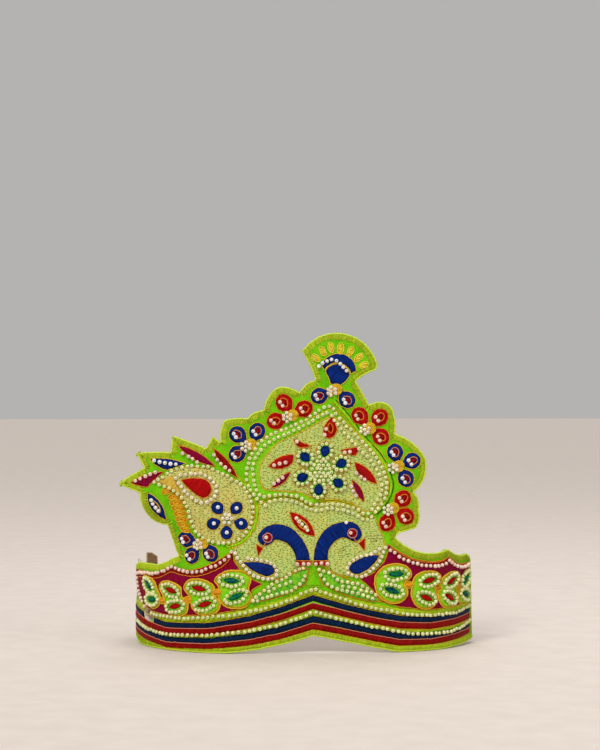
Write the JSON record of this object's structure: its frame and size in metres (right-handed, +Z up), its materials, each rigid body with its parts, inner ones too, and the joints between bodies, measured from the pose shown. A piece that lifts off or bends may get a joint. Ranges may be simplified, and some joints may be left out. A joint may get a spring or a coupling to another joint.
{
  "type": "costume crown",
  "caption": "Embroidered stage crown: a stiffened cloth band with a tall peacock crest, appliqué motifs, pearl rows and a tie hole, open at the back.",
  "frame": {"origin": "under the middle of the crown's bounding box, on the surface that it stands on", "axes": "+X along the band towards the wearer's left as seen from the front, +Y from the crest back to the open ends, +Z up"},
  "size_m": [0.201, 0.0898, 0.1763],
  "materials": {
    "lime_cloth": "matt lime-green velvet cloth over stiffened canvas",
    "neon_thread": "bright green satin-stitch thread",
    "navy_thread": "navy satin-stitch rayon thread with a soft sheen",
    "red_thread": "red satin-stitch rayon thread with a soft sheen",
    "maroon_thread": "maroon satin-stitch thread and cloth with a soft sheen",
    "tissue_cloth": "pale gold-green woven tissue with fine dark flecks",
    "brown_tape": "brown hook tape, fuzzy"
  },
  "bodies": {
    "root": {"crown_panel": "lime_cloth", "fastening_tape": "brown_tape", "stripe_navy_upper": "navy_thread", "stripe_navy_upper_end": "navy_thread", "stripe_red_upper": "red_thread", "stripe_navy_lower": "navy_thread", "stripe_red_lower": "red_thread", "side_panel_left": "maroon_thread", "side_panel_right": "maroon_thread", "central_leaf": "tissue_cloth", "paisley": "tissue_cloth", "peacock_ground": "tissue_cloth", "sweep_leaf_left": "neon_thread", "sweep_leaf_right": "neon_thread", "centre_peak": "neon_thread", "side_petal": "navy_thread", "flame_leaf_1": "maroon_thread", "flame_leaf_2": "navy_thread", "flame_leaf_3": "maroon_thread", "flame_leaf_4": "maroon_thread", "fan_crescent": "navy_thread", "fan_eye": "navy_thread", "peacock_neck_left": "navy_thread", "peacock_neck_right": "navy_thread", "peacock_beak_left": "red_thread", "peacock_beak_right": "red_thread", "peacock_collar_left": "red_thread", "peacock_collar_right": "red_thread", "peacock_wing_left": "navy_thread", "peacock_wing_right": "navy_thread", "almond": "red_thread", "red_drop_top": "red_thread", "red_leaf_left": "red_thread", "red_leaf_low_left": "red_thread", "red_leaf_top_left": "red_thread", "red_leaf_top_right": "red_thread", "red_leaf_right": "red_thread", "red_leaf_low_right": "red_thread", "paisley_drop": "red_thread", "flower_top": "navy_thread", "flower_red_left": "red_thread", "flower_navy_left": "navy_thread", "flower_red_right": "red_thread", "flower_navy_right": "navy_thread", "flower_red_low": "red_thread", "flower_navy_low": "navy_thread", "paisley_flower": "navy_thread", "rosette": "neon_thread", "leaf_pair_left_1": "neon_thread", "leaf_pair_left_2": "neon_thread", "leaf_pair_left_3": "neon_thread", "leaf_pair_left_4": "neon_thread", "leaf_pair_right_1": "neon_thread", "leaf_pair_right_2": "neon_thread", "leaf_pair_right_3": "neon_thread", "leaf_pair_right_4": "neon_thread"}
  },
  "joints": []
}
